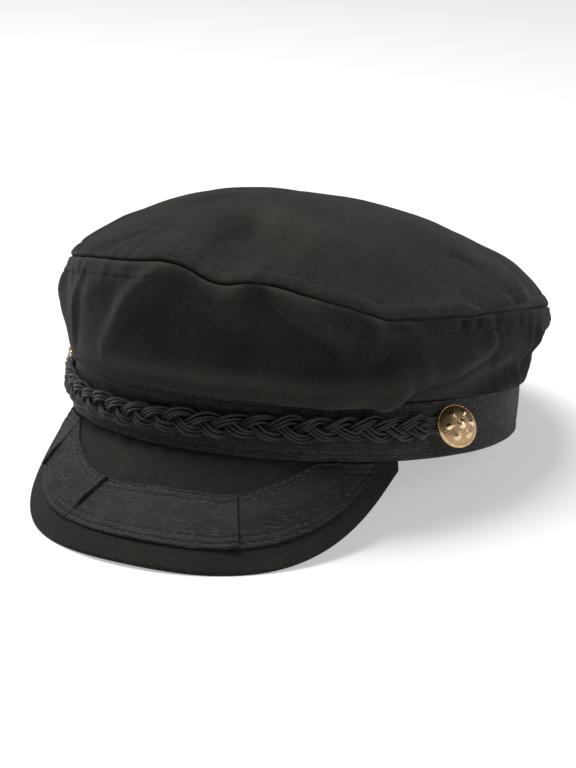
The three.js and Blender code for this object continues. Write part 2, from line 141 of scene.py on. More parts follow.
def made(name, points, faces, corners=None):
    """A mesh object from points in metres and lists of equal-sided faces, with a UV for each of
    their corners, shaded smooth except at sharp edges."""
    sizes = np.concatenate([np.full(len(f), f.shape[1]) for f in faces])
    flat = np.concatenate([f.ravel() for f in faces])
    mesh = bpy.data.meshes.new(name)
    mesh.vertices.add(len(points))
    mesh.vertices.foreach_set("co", points.astype(np.float32).ravel())
    mesh.loops.add(len(flat))
    mesh.loops.foreach_set("vertex_index", flat.astype(np.int32))
    mesh.polygons.add(len(sizes))
    starts = np.concatenate([[0], np.cumsum(sizes)[:-1]])
    mesh.polygons.foreach_set("loop_start", starts.astype(np.int32))
    mesh.update(calc_edges=True)
    if corners is not None:
        uv = mesh.uv_layers.new(name="UVMap")
        uvs = np.concatenate([c.reshape(-1, 2) for c in corners]).astype(np.float32)
        uv.data.foreach_set("uv", uvs.ravel())
    mesh.polygons.foreach_set("use_smooth", np.ones(len(sizes), bool))
    mesh.set_sharp_from_angle(angle=math.radians(60))
    thing = bpy.data.objects.new(name, mesh)
    bpy.context.scene.collection.objects.link(thing)
    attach(thing, "root")
    return thing


class Finish:
    """A material's node tree, written as calls: add a node with its inputs as words or links."""

    def __init__(self, name):
        self.material = bpy.data.materials.new(name)
        self.material.use_nodes = True
        self.tree = self.material.node_tree
        self.tree.nodes.clear()
        self.shader = self.tree.nodes.new("ShaderNodeBsdfPrincipled")
        out = self.tree.nodes.new("ShaderNodeOutputMaterial")
        self.tree.links.new(self.shader.outputs[0], out.inputs[0])

    def fill(self, node, inputs):
        for key, value in inputs.items():
            if isinstance(value, bpy.types.NodeSocket):
                self.tree.links.new(value, node.inputs[key])
            else:
                node.inputs[key].default_value = value

    def add(self, kind, inputs=None, **settings):
        node = self.tree.nodes.new("ShaderNode" + kind)
        for key, value in settings.items():
            setattr(node, key, value)
        self.fill(node, inputs or {})
        return node

    def where(self, scale, turn=(0, 0, 0), source="UV"):
        """Coordinates in the piece's UV, whose unit is a millimetre, or in object space."""
        place = self.add("TexCoord").outputs[source]
        return self.add("Mapping", {"Vector": place, "Scale": scale, "Rotation": turn}).outputs[0]

    def math(self, operation, *values):
        node = self.add("Math", operation=operation)
        for i, value in enumerate(values):
            self.fill(node, {i: value})
        return node.outputs[0]

    def between(self, value, low, high, to_low=0.0, to_high=1.0):
        node = self.add("MapRange", {0: value, 1: low, 2: high, 3: to_low, 4: to_high})
        return node.outputs[0]

    def mix(self, share, first, second):
        node = self.add("Mix", data_type="RGBA")
        self.fill(node, {0: share, 6: first, 7: second})
        return node.outputs[2]

    def noise(self, where, scale, detail=3.0, roughness=0.55, distortion=0.0):
        inputs = {"Vector": where, "Scale": scale, "Detail": detail, "Roughness": roughness}
        inputs["Distortion"] = distortion
        return self.add("TexNoise", inputs).outputs[0]

    def bump(self, height, strength, distance, normal=None):
        inputs = {"Height": height, "Strength": strength, "Distance": distance}
        if normal is not None:
            inputs["Normal"] = normal
        return self.add("Bump", inputs).outputs[0]


def times(colour, factor):
    """A colour made darker or paler."""
    return tuple(factor * c for c in colour[:3]) + (1,)


def washed_cotton(name, dark, pale):
    """Washed cotton: cloudy fading, pale slubs, a fine uneven weave and paler worn edges."""
    f = Finish(name)
    clouds = f.noise(f.where((0.035, 0.035, 0.035)), 1.0, 4.0, 0.6)
    mottle = f.noise(f.where((0.22, 0.22, 0.22)), 1.0, 3.0, 0.6)
    slubs = f.noise(f.where((0.5, 2.2, 1.0)), 1.0, 2.0, 0.7)
    grain = f.noise(f.where((1.0, 1.0, 1.0)), 1.0, 4.0, 0.8)
    colour = f.mix(f.between(clouds, 0.3, 0.7), dark, pale)
    colour = f.mix(f.between(mottle, 0.35, 0.68, 0.35, 0.0), colour, times(dark, 0.55))
    colour = f.mix(f.between(slubs, 0.52, 0.8, 0.0, 0.5), colour, times(pale, 1.9))
    colour = f.mix(f.between(grain, 0.36, 0.5, 0.5, 0.0), colour, times(dark, 0.4))
    colour = f.mix(f.between(grain, 0.52, 0.7, 0.0, 0.42), colour, times(pale, 2.0))
    worn = f.add("Attribute", attribute_name="worn").outputs["Fac"]
    colour = f.mix(f.between(worn, 0.0, 1.0, 0.0, 0.6), colour, times(pale, 2.1))
    inputs = {"Vector": f.where((1, 1, 1)), "Scale": 0.42, "Distortion": 1.2, "Detail": 1.0}
    warp = f.add("TexWave", inputs).outputs[1]
    weft = f.add("TexWave", inputs, bands_direction="Y").outputs[1]
    normal = f.bump(f.math("MAXIMUM", warp, weft), 0.5, 0.00012)
    normal = f.bump(grain, 0.6, 0.0003, normal)
    f.fill(f.shader, {"Base Color": colour, "Normal": normal, "Roughness": 0.92})
    f.fill(f.shader, {"Sheen Weight": 0.04, "Sheen Roughness": 0.5, "Specular IOR Level": 0.12})
    return f.material


cotton = washed_cotton("black_cotton", (0.0130, 0.0115, 0.0098, 1), (0.0225, 0.0198, 0.0170, 1))
around = np.linspace(0, 360, 289)[:, None]
turns = np.array([0.0, 0.06, 0.3, 0.5, 1.0, 3.0, 8.0, 14.0, 19.0, 21.0, 22.0])[None]
half = band_cloth / 2
edge_round = np.sqrt(1 - (1.0 - np.clip(turns, 0, 1)) ** 2)
wall_out = round_head(around, 0.0, turns, half + half * (0.35 + 0.65 * edge_round))
wall_in = round_head(around, 0.0, turns, half - half * (0.35 + 0.65 * edge_round))
girth = around / 360 * head_round
headband = cloth_body("sewn_headband", wall_out, wall_in, joined(girth, turns), wrap=True)
headband.data.materials.append(cotton)
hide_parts("headband")

# Band ribbon
# A figured black ribbon, sewn flat round the outside of the band: two rows of stitches near its
# top edge, one near its lower. It puckers slightly between them, and its figure is streaked.
ribbon_cloth = 0.8
ribbon_low = -0.26
ribbon_face = band_cloth + gap + ribbon_cloth
ribbon_round = 590.0
row_levels = (20.2, 17.6, 3.4)


def wander(x, y, cell, seed, turn=None):
    """Smooth noise from -1 to 1: seeded random values at the corners of a grid of that cell,
    joined by cubic curves. x may repeat after turn cells."""
    size = 64
    table = np.random.default_rng(seed).uniform(-1, 1, (size, size))
    gx, gy = np.broadcast_arrays(x / cell, y / cell)
    ix, iy = np.floor(gx).astype(int), np.floor(gy).astype(int)
    fx, fy = gx - ix, gy - iy
    fx, fy = fx * fx * fx * (fx * (fx * 6 - 15) + 10), fy * fy * fy * (fy * (fy * 6 - 15) + 10)
    wrap = turn or size
    at = lambda i, j: table[np.mod(i, wrap) % size, np.mod(j, size)]
    low = at(ix, iy) * (1 - fx) + at(ix + 1, iy) * fx
    high = at(ix, iy + 1) * (1 - fx) + at(ix + 1, iy + 1) * fx
    return low * (1 - fy) + high * fy


def figured_ribbon(name, dark, pale):
    """Ribbon with fine ribs across it and a paler woven figure: rows of short dashes that run along
    it, broken up by leaf-like patches, on a dark ground paled by large soft patches of painted
    sheen."""
    f = Finish(name)
    inputs = {"Vector": f.where((0.5, 1, 1)), "Scale": 0.27, "Distortion": 4.5}
    inputs.update({"Detail": 2.0, "Detail Scale": 0.5})
    rows = f.add("TexWave", inputs, bands_direction="Y").outputs[1]
    dashes = f.noise(f.where((0.16, 1.0, 1.0)), 1.0, 3.0, 0.75)
    leaves = f.noise(f.where((0.06, 0.12, 1.0)), 1.0, 3.0, 0.6, 2.5)
    warp = f.noise(f.where((0.2, 0.4, 1.0)), 1.0, 3.0, 0.7)
    lie = f.add("VectorMath", {0: f.where((0.14, 0.6, 1.0)), 1: warp}, operation="ADD").outputs[0]
    cells = f.add("TexVoronoi", voronoi_dimensions="2D", feature="DISTANCE_TO_EDGE")
    f.fill(cells, {"Vector": lie, "Scale": 1.0})
    outlines = f.between(cells.outputs["Distance"], 0.0, 0.07, 0.6, 0.0)
    figure = f.math("MULTIPLY", f.between(rows, 0.6, 0.95), f.between(dashes, 0.47, 0.56, 0.0, 0.9))
    figure = f.math("MAXIMUM", figure, outlines)
    figure = f.math("MULTIPLY", figure, f.between(leaves, 0.42, 0.6, 0.15, 1.0))
    speck = f.noise(f.where((1.4, 2.8, 1.0)), 1.0, 2.0, 0.7)
    figure = f.math("ADD", figure, f.between(speck, 0.45, 0.75, 0.0, 0.18))
    # Painted sheen: large soft patches where the ribbon's dark ground is made up to twice as pale,
    # standing in for the satin's shine.
    painted_sheen = f.noise(f.where((0.06, 0.11, 1.0), (0, 0, 0.2)), 1.0, 3.0, 0.6, 1.0)
    ground = f.mix(f.between(painted_sheen, 0.35, 0.65), dark, times(dark, 2.0))
    colour = f.mix(figure, ground, pale)
    worn = f.add("Attribute", attribute_name="worn").outputs["Fac"]
    colour = f.mix(f.between(worn, 0.0, 1.0, 0.0, 0.7), colour, times(pale, 1.5))
    inputs = {"Vector": f.where((1, 1, 1)), "Scale": 0.55, "Distortion": 0.4}
    ribs = f.add("TexWave", inputs).outputs[1]
    normal = f.bump(ribs, 0.25, 0.0001)
    normal = f.bump(figure, 0.8, 0.0003, normal)
    roughness = f.between(figure, 0.0, 1.0, 0.62, 0.42)
    f.fill(f.shader, {"Base Color": colour, "Normal": normal, "Roughness": roughness})
    f.fill(f.shader, {"Sheen Weight": 0.02, "Sheen Roughness": 0.4, "Specular IOR Level": 0.12})
    return f.material


def distance_along(line):
    """Distance of each of a line's points from its first, along the line."""
    return np.concatenate([[0], np.cumsum(np.linalg.norm(np.diff(line, axis=0), axis=1))])


def stitches(name, line, lift, thread, length=2.3, space=1.1, thick=0.46):
    """Short stitches laid end to end along a line of points on the cloth: each is a capsule of
    six sides, its rings lying along the line and lifted off it by half the thread."""
    run = distance_along(line)
    many = int(run[-1] // (length + space))
    first = np.arange(many) * (length + space) + space / 2
    along = np.array([0, 0.08, 0.3, 0.7, 0.92, 1.0])
    thin = np.array([0.15, 0.75, 1.0, 1.0, 0.75, 0.15])
    sink = np.array([-0.9, -0.35, 0.1, 0.1, -0.35, -0.9])
    where = first[:, None] + length * along[None]
    centre = np.stack([np.interp(where, run, line[:, i]) for i in range(3)], -1)
    up = np.stack([np.interp(where, run, lift[:, i]) for i in range(3)], -1)
    up /= np.linalg.norm(up, axis=-1, keepdims=True)
    ahead = np.gradient(centre, axis=1)
    ahead /= np.linalg.norm(ahead, axis=-1, keepdims=True)
    side = np.cross(up, ahead)
    turn = (np.arange(6) * math.tau / 6)[:, None]
    radius = (thick / 2 * thin)[:, None, None]
    middle = (centre + up * (sink * thick / 2)[:, None])[:, :, None]
    ring = side[:, :, None] * np.cos(turn) + up[:, :, None] * np.sin(turn)
    points = middle + radius * ring
    one = np.arange(36).reshape(6, 6)
    after = np.roll(one, -1, 1)
    quads = np.stack([one[:-1], one[1:], after[1:], after[:-1]], -1).reshape(-1, 4)
    ends = np.stack([one[0], one[-1][::-1]])
    base = (np.arange(many) * 36)[:, None, None]
    faces = [(quads[None] + base).reshape(-1, 4), (ends[None] + base).reshape(-1, 6)]
    row = made(name, on_table(points.reshape(-1, 3), False) / 1000, faces)
    row.data.materials.append(thread)
    return row


def sewing_thread(name, dark, pale):
    """Thread whose twist shows as finely mixed dark and pale fibres."""
    f = Finish(name)
    twist = f.noise(f.where((1, 1, 1), source="Object"), 2500.0, 2.0)
    colour = f.mix(twist, dark, pale)
    f.fill(f.shader, {"Base Color": colour, "Roughness": 0.6, "Specular IOR Level": 0.2})
    return f.material


thread = sewing_thread("black_thread", (0.013, 0.012, 0.011, 1), (0.030, 0.0275, 0.024, 1))
grey_thread = sewing_thread("grey_thread", (0.020, 0.020, 0.019, 1), (0.085, 0.082, 0.075, 1))


def bell(x):
    """1 at 0, falling away on both sides to nothing by about 2."""
    return np.exp(-(x**2))


def ribbon_wall(angle, height):
    """The ribbon's face: the oval outside the band, drawn in along its stitch rows and slightly
    waved between them."""
    girth = angle / 360 * ribbon_round
    pull = sum(bell((height - level) / 0.7) for level in row_levels)
    wave = 0.16 * wander(girth, height, 11.8, 3, 50)
    wave += 0.08 * wander(girth, height * 0.6, 5.9, 4, 100)
    bead = np.clip((height - ribbon_low) / 0.5, 0, 1) * np.clip((band_height - height) / 0.5, 0, 1)
    step = wave - 0.32 * pull * (1 + 0.4 * wander(girth, height, 2.95, 5, 200))
    return round_head(angle, ribbon_face, height, step - 0.35 * (1 - np.sqrt(bead)))


def closer_at_ends(many):
    """Steps from 0 to 1 that lie closer together towards both ends."""
    return 0.5 - 0.5 * np.cos(np.linspace(0, math.pi, many))


ribbon = figured_ribbon("figured_ribbon", (0.0085, 0.0086, 0.0083, 1), (0.066, 0.064, 0.058, 1))
angle = np.linspace(0, 360, 721)[:, None]
height = ribbon_low + (band_height - ribbon_low) * closer_at_ends(41)[None]
face = ribbon_wall(angle, height)
back = round_head(angle[::4], band_cloth + gap, height[:, ::4])
chart = joined(angle / 360 * ribbon_round, height)
band_ribbon = cloth_body("band_ribbon_cloth", face, back, chart, wrap=True)
band_ribbon.data.materials.append(ribbon)
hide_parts("band_ribbon")
angle = angle[:, 0]
for place, level in zip(("top", "second", "low"), row_levels):
    line = ribbon_wall(angle, level)
    outward = line - round_head(angle, 0.0, level)
    row = stitches(f"band_stitches_{place}", line, outward, grey_thread)

# Peak
# A bent board covered in the crown's cotton: straight lines run out and down from under the
# band, longest in the middle. The cloth is turned over its rounded edge.
peak_length = 50.8
peak_tail = 3.5
peak_cloth = 2.6
peak_half_angle = 56.0
peak_slope = 46.5
peak_end_slope = 58.0
peak_turn = 0.68
peak_dome = 1.2
peak_span = 105.0


def peak_reach(u):
    """Length of the peak's lines, from a long middle to short ends."""
    inside = np.clip(1 - np.abs(u) ** 3.36, 0, 1)
    return peak_tail + (peak_length - peak_tail) * inside**1.23


def peak_face(u, run):
    """A point of the peak's upper face: along it from -1 to 1, and out from the band."""
    a, b = head_length / 2 + band_cloth, head_width / 2 + band_cloth
    angle = np.radians(u * peak_half_angle)
    slope = np.radians(peak_slope + (peak_end_slope - peak_slope) * u * u)
    turn = np.arctan2(np.sin(angle) / b, np.cos(angle) / a) * peak_turn
    reach = peak_reach(u)
    share = run / reach
    dome = 4 * share * (1 - share) * peak_dome * reach / peak_length
    x = b * np.sin(angle) + np.sin(turn) * np.cos(slope) * run
    y = -a * np.cos(angle) - np.cos(turn) * np.cos(slope) * run
    return joined(x, y, -gap - np.sin(slope) * run + dome)


def square_to(face, u, v, step=1e-3):
    """Unit normals of a face of two parameters, from short steps along both."""
    along, across = face(u + step, v) - face(u - step, v), face(u, v + step) - face(u, v - step)
    normal = np.cross(along, across)
    return normal / np.linalg.norm(normal, axis=-1, keepdims=True)


def peak_point(u, run, lift):
    """A point lifted square off the peak's upper face."""
    normal = -square_to(peak_face, u, run)
    return peak_face(u, run) + normal * np.asarray(lift)[..., None]


rim = peak_cloth / 2
u = np.linspace(-1, 1, 241)[:, None] * 0.985
inner_rows = np.linspace(0, 1, 57)[None]
roll = np.linspace(0, math.pi / 2, 8)[None, 1:]
reach = peak_reach(u)
flat_run = (reach - rim) * inner_rows
rim_run = reach - rim + rim * np.sin(roll)
run = np.concatenate([flat_run + 0 * u, rim_run + 0 * u], 1)
drop = np.concatenate([0 * flat_run, rim * (1 - np.cos(roll)) + 0 * u], 1)
soft = 0.12 * wander(u * 90, run, 14.0, 11) * np.clip((reach - run) / 3, 0, 1)
top_face = peak_point(u, run, soft - drop)
under_face = peak_point(u, run, -peak_cloth + drop)
chart = joined(u * peak_span, run)
peak = cloth_body("covered_peak", top_face[:, ::-1], under_face[:, ::-1], chart[:, ::-1])
peak.data.materials.append(cotton)
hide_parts("peak")

# Peak ribbon
# The band's ribbon again, bent round the peak and taken in with a few pleats: at each one the
# cloth rises towards the middle and folds under itself, with a shadow at the fold.
ribbon_width = 24.5
ribbon_margin = 9.0
ribbon_margin_end = 12.0
tuck_rise = 0.9
tuck_run = 9.0
tuck_lip = 0.35
# Pleats: place along the peak, slant, the shares of the width where it opens and closes, and depth
tucks = (
    (-0.66, -0.02, 0.45, 1.3, 0.6),
    (-0.22, -0.09, -1.0, 0.55, 0.5),
    (0.33, 0.05, -1.0, 1.3, 0.2),
    (0.72, 0.0, -1.0, 0.6, 0.0),
)
row_from_edge = (1.6, 4.2)


def through(x, keys, values, turn=None):
    """Smooth curve through a table: between two keys a cubic whose slopes come from the keys on
    either side. With turn, the keys repeat after it."""
    keys, values = np.asarray(keys, float), np.asarray(values, float)
    if turn:
        keys, values = np.concatenate([keys - turn, keys, keys + turn]), np.tile(values, 3)
        x = np.mod(x, turn)
    else:
        step = keys[-1] - keys[-2]
        keys = np.concatenate([[keys[0] - step], keys, [keys[-1] + step]])
        values = np.concatenate([values[:1], values, values[-1:]])
    slopes = np.zeros_like(values)
    slopes[1:-1] = (values[2:] - values[:-2]) / (keys[2:] - keys[:-2])
    i = np.clip(np.searchsorted(keys, x, side="right") - 1, 1, len(keys) - 3)
    span = keys[i + 1] - keys[i]
    t = (x - keys[i]) / span
    first = (2 * t**3 - 3 * t**2 + 1) * values[i] + (t**3 - 2 * t**2 + t) * span * slopes[i]
    return first + (3 * t**2 - 2 * t**3) * values[i + 1] + (t**3 - t**2) * span * slopes[i + 1]


# How much further in or out the ribbon's inner edge lies, along the peak
ribbon_taken_in = {
    "place": (-1.0, -0.5, -0.32, -0.22, 0.0, 0.2, 0.33, 0.45, 0.6, 0.8, 1.0),
    "by": (0.0, 0.4, 2.8, 3.8, 1.8, 1.6, 2.2, -1.5, -3.5, -2.5, 0.0),
}


def smooth_step(x):
    """Rises from 0 to 1 as x does, level at both ends."""
    x = np.clip(x, 0, 1)
    return x * x * (3 - 2 * x)


def peak_ribbon_edges(u):
    """Distances out from the band of the ribbon's two edges."""
    outer = peak_reach(u) - ribbon_margin - (ribbon_margin_end - ribbon_margin) * u * u
    inner = outer - ribbon_width + through(u, ribbon_taken_in["place"], ribbon_taken_in["by"])
    inner = np.maximum(inner, gap * 4)
    return np.minimum(inner, outer - 1), outer


def pleat_height(u, share):
    """Rise of the ribbon beside a pleat: it climbs to a rounded lip at the fold, and drops there
    into a narrow slit. Some pleats close towards the ribbon's outer edge."""
    rise = 0 * u * share
    spread = math.radians(peak_half_angle) * (head_width / 2 + peak_length / 2)
    for at, slant, opens, closes, deep in tucks:
        away = (at + slant * share - u) * spread
        climb = smooth_step(1 - away / tuck_run)
        opened = smooth_step((share - opens) / 0.3) * (1 - smooth_step((share - closes) / 0.25))
        lip = tuck_rise * (0.45 + 0.55 * opened) * climb + tuck_lip * opened * bell(away / 1.6)
        slit = -deep * opened * bell((away + 0.2) / 0.5)
        rise += np.where((away > 0) & (away < tuck_run), lip, 0)
        rise += np.where(away <= 0, slit, 0)
    return rise


def peak_ribbon_face(u, share):
    """A point on the ribbon: share goes from its inner to its outer edge."""
    low, high = peak_ribbon_edges(u)
    run = low + (high - low) * share
    edges = (high - run, run - low)
    pull = sum(bell((edge - row) / 0.6) for edge in edges for row in row_from_edge)
    wave = 0.14 * wander(u * peak_span, run, 9.0, 21) + 0.07 * wander(u * peak_span, run, 4.0, 22)
    bead = np.clip(np.minimum(share, 1 - share) * (high - low) / 0.5, 0, 1)
    lift = gap + ribbon_cloth + pleat_height(u, share) + wave
    lift = lift - 0.3 * pull - 0.4 * (1 - np.sqrt(bead))
    return peak_point(u, run, lift)


u = np.linspace(-0.9, 0.9, 1201)[:, None]
share = closer_at_ends(61)[None]
low, high = peak_ribbon_edges(u)
run = low + (high - low) * share
top_face = peak_ribbon_face(u, share)[:, ::-1]
under_face = peak_point(u[::8], run[::8, ::4], gap)[:, ::-1]
chart = joined(u * peak_span, run)[:, ::-1]
peak_ribbon = cloth_body("peak_ribbon_cloth", top_face, under_face, chart)
peak_ribbon.data.materials.append(ribbon)
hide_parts("peak_ribbon")
u = np.linspace(-0.88, 0.88, 500)
low, high = peak_ribbon_edges(u)
width = high - low
keep = (width > 12) & (low > 1.5)
lift = -square_to(peak_face, u, high)[keep]
for edge in ("outer", "inner"):
    for which, distance in zip(("", "_second"), row_from_edge):
        share = 1 - distance / width if edge == "outer" else distance / width
        line = peak_ribbon_face(u, share)[keep]
        row = stitches(f"peak_stitches_{edge}{which}", line, lift, grey_thread)

# Plaited cord
# Three strands, each of three thin satin cords side by side, plaited flat and laid across the
# band. It hangs a little lower on one side, and its ends pass flat under the buttons.
cord_height = 12.9
cord_droop = 3.4
droop_angle = -20.0
droop_spread = 34.0
plait_pitch = 30.0
plait_swing = 3.45
plait_depth = 1.2
cord_thick = 1.14
cord_end = 14.0
button_angle = 67.7
far_button_angle = 77.0
button_radius = 8.4
shank_radius = 1.6
# How far each thin cord, the whole strand and the cord's depth wander from their even way
cord_wander = 0.42
strand_wander = 0.7
depth_wander = 0.18


def plait_line(length):
    """Angle round the band at a length along the plait, and the plait's whole length."""
    angle = np.linspace(-far_button_angle, button_angle, 2001)
    line = round_head(angle, ribbon_face + gap, 0.0)
    run = distance_along(line)
    return np.interp(length, run, angle), run[-1]


def cord_path(strand, beside):
    """Middle line of one thin cord: the strand swings from side to side as a sine while it rises
    and sinks twice as often, and the cord runs beside it, square to its way."""
    whole = plait_line(0.0)[1]
    length = np.linspace(shank_radius + 1.4, whole - shank_radius - 1.4, 380)
    to_end = np.minimum(length, whole - length)
    loose = smooth_step((cord_end - to_end) / (cord_end - button_radius - 0.8))
    turns = round((whole - 2 * cord_end) / (plait_pitch / 6)) / 6
    along = np.clip((length - cord_end) / (whole - 2 * cord_end), 0, 1)
    phase = math.tau * (along * turns + strand / 3)
    rate = math.tau * turns / (whole - 2 * cord_end)
    slope = plait_swing * np.cos(phase) * rate * (1 - loose)
    size = np.hypot(1, slope)
    apart = beside * cord_thick * (1.1 - 0.33 * loose)
    angle = plait_line(length - apart * slope / size)[0]
    hang = cord_droop * bell((angle - droop_angle) / droop_spread) * (1 - loose)
    height = cord_height - hang + plait_swing * (1 - 0.12 * loose) * np.sin(phase) + apart / size
    height += cord_wander * wander(length, 0 * length, 6.0, 40 + strand * 3 + beside)
    height += strand_wander * wander(length, 0 * length, 14.0, 30 + strand)
    depth = plait_depth * (1 - loose)
    stand = 0.25 + cord_thick / 2 + depth + depth * np.sin(2 * phase)
    stand += depth_wander * wander(length, 0 * length, 5.0, 60 + strand * 3 + beside)
    return round_head(angle, ribbon_face + gap, height, stand), round_head(angle, 0.0, 0.0)


def tube(path, outward, thick, sides=12):
    """Points, faces and UV of a round cord along a path, closed at both ends: its rings lie
    square to the path, and the UV is in millimetres along and round it."""
    ahead = np.gradient(path, axis=0)
    ahead /= np.linalg.norm(ahead, axis=1, keepdims=True)
    side = np.cross(outward, ahead)
    side /= np.linalg.norm(side, axis=1, keepdims=True)
    up = np.cross(ahead, side)
    turn = np.arange(sides) * math.tau / sides
    ring = side[:, None] * np.cos(turn)[None, :, None] + up[:, None] * np.sin(turn)[None, :, None]
    points = path[:, None] + thick / 2 * ring
    n = len(path)
    index = np.arange(n * sides).reshape(n, sides)
    right = np.roll(index, -1, 1)
    quads = np.stack([index[:-1], right[:-1], right[1:], index[1:]], -1).reshape(-1, 4)
    run = distance_along(path)
    way = np.arange(sides + 1) / sides * math.pi * thick
    grid = joined(run[:, None], way[None])
    uvs = np.stack([grid[:-1, :-1], grid[:-1, 1:], grid[1:, 1:], grid[1:, :-1]], -2)
    ends = np.stack([index[0][::-1], index[-1]])
    end_uv = np.zeros((2, sides, 2))
    return points.reshape(-1, 3), [quads, ends], [uvs.reshape(-1, 4, 2), end_uv]


cord_finish = Finish("satin_cord")
inputs = {"Vector": cord_finish.where((1, 1, 1), (0, 0, 0.7)), "Scale": 0.75}
inputs.update({"Distortion": 0.8, "Detail": 1.0})
strands_of_yarn = cord_finish.add("TexWave", inputs).outputs[1]
fibre = cord_finish.noise(cord_finish.where((1.0, 4.0, 1.0), (0, 0, 0.7)), 1.5, 3.0)
cord_finish.fill(
    cord_finish.shader,
    {
        "Base Color": cord_finish.mix(fibre, (0.004, 0.004, 0.0043, 1), (0.026, 0.026, 0.029, 1)),
        "Roughness": cord_finish.between(fibre, 0.3, 0.7, 0.5, 0.3),
        "Normal": cord_finish.bump(strands_of_yarn, 0.9, 0.0002),
        "Specular IOR Level": 0.45,
    },
)
for strand in range(3):
    points, faces, corners, first = [], [[], []], [[], []], 0
    for beside in (-1, 0, 1):
        path, middle = cord_path(strand, beside)
        outward = path - middle
        outward[:, 2] = 0
        p, f, c = tube(path, outward, cord_thick)
        points.append(p)
        for k in range(2):
            faces[k].append(f[k] + first)
            corners[k].append(c[k])
        first += len(p)
    faces = [np.concatenate(k) for k in faces]
    corners = [np.concatenate(k) for k in corners]
    points = on_table(np.concatenate(points), False) / 1000
    plait = made(f"plait_strand_{strand + 1}", points, faces, corners)
    plait.data.materials.append(cord_finish.material)
    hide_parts(f"braid_strand_{strand + 1}")

# Buttons
# Struck brass domes with a hub, rays and a ring of knobs raised on them, bright on top and
# dark in the hollows, standing over the cord's ends on a plain shank.
button_dome = 4.4
button_rim = 0.9
button_stand = 5.6
button_lift = 26.0
button_turn = 16.0
shank_flare = 0.5
button_back = 7.6
dome_from = 0.96
dome_power = 0.65
dome_swell = 1.08
pattern_height = 0.5
knobs = 6


def struck(share, turn):
    """Height of the pattern raised on the dome: a hub, knobs in a ring round it, each on a
    tapering rib, fine rays towards the rim and a grain inside the ring."""
    toward = 1 - np.abs(np.mod(turn * knobs / math.tau, 1) - 0.5) * 2
    hub = 1.5 * np.exp(-((share / 0.18) ** 4))
    knob = 1.3 * bell((share - 0.6) / 0.11) * bell(toward / 0.36)
    wide = 0.12 + 0.16 * np.clip((share - 0.2) / 0.5, 0, 1)
    rib = 0.35 * bell(toward / wide)
    rib *= smooth_step((share - 0.2) / 0.1) * smooth_step((0.8 - share) / 0.15)
    rays = 0.12 * np.cos(turn * knobs * 6) * bell((share - 0.72) / 0.2)
    rays *= smooth_step(1 - knob / 0.3)
    grain = 0.22 * np.cos(turn * knobs * 4) * np.cos(share * 40) * bell((share - 0.34) / 0.14)
    return hub + knob + rib + rays + grain


def straight_out(angle):
    """One millimetre level and square to the band's face."""
    return round_head(angle, ribbon_face, 0.0, 1.0) - round_head(angle, ribbon_face, 0.0, 0.0)


def askew(points, to_front):
    """The button's head turned on its shank, upwards and towards the front."""
    a, b = -math.radians(button_lift), math.radians(button_turn) * to_front
    about_x = np.array([[1, 0, 0], [0, math.cos(a), -math.sin(a)], [0, math.sin(a), math.cos(a)]])
    about_y = np.array([[math.cos(b), 0, math.sin(b)], [0, 1, 0], [-math.sin(b), 0, math.cos(b)]])
    return points @ (about_x @ about_y).T + np.array([0, 0, button_stand])


brass_finish = Finish("antique_brass")
low_place = brass_finish.add("Attribute", attribute_name="hollow").outputs["Fac"]
tarnish = brass_finish.noise(brass_finish.where((1, 1, 1), source="Object"), 500.0, 4.0)
dirt = brass_finish.math("MULTIPLY", low_place, brass_finish.between(tarnish, 0.2, 0.6, 0.7, 1.0))
gold = brass_finish.mix(
    brass_finish.between(tarnish, 0.35, 0.65), (0.70, 0.50, 0.27, 1), (0.92, 0.74, 0.48, 1)
)
brass_finish.fill(
    brass_finish.shader,
    {
        "Base Color": brass_finish.mix(dirt, gold, (0.42, 0.27, 0.15, 1)),
        "Metallic": 1.0,
        "Roughness": brass_finish.between(dirt, 0.0, 1.0, 0.24, 0.46),
        "Normal": brass_finish.bump(tarnish, 0.15, 0.0001),
    },
)
turn = np.linspace(0, math.tau, 193)[None, :-1]
bend = np.linspace(0, math.pi, 9)
rim_r = button_radius - 0.3 + 0.3 * np.sin(bend)
rim_z = button_rim / 2 * (1 - np.cos(bend))
flare_r = shank_radius + shank_flare
back_r = np.array([flare_r, flare_r + 0.3, button_back])
share = np.linspace(dome_from, 0.0, 70)[:, None]
dome_z = (1 - share**2) ** dome_power - (1 - dome_from**2) ** dome_power
dome_z = dome_swell * button_dome * dome_z
raised = pattern_height * struck(share, turn) * np.clip((0.93 - share) / 0.05, 0, 1)
radius = np.concatenate([back_r, rim_r, share[:, 0] * button_radius])[:, None] + 0 * turn
radius[-1] = 0.02
below_dome = np.concatenate([0 * back_r, rim_z])[:, None] + 0 * turn
tall = np.concatenate([below_dome, button_rim - 0.1 + dome_z + raised])
head = joined(radius * np.cos(turn), radius * np.sin(turn), tall)
foot_z = np.array([[gap], [gap + 0.5]])
foot = joined(shank_radius * np.cos(turn), shank_radius * np.sin(turn), foot_z)
hollow = np.zeros(radius.shape, np.float32)
inside_rim = np.clip((0.95 - share) / 0.05, 0, 1)
hollow[-len(share) :] = np.clip(1 - raised / 0.22, 0, 1) * inside_rim
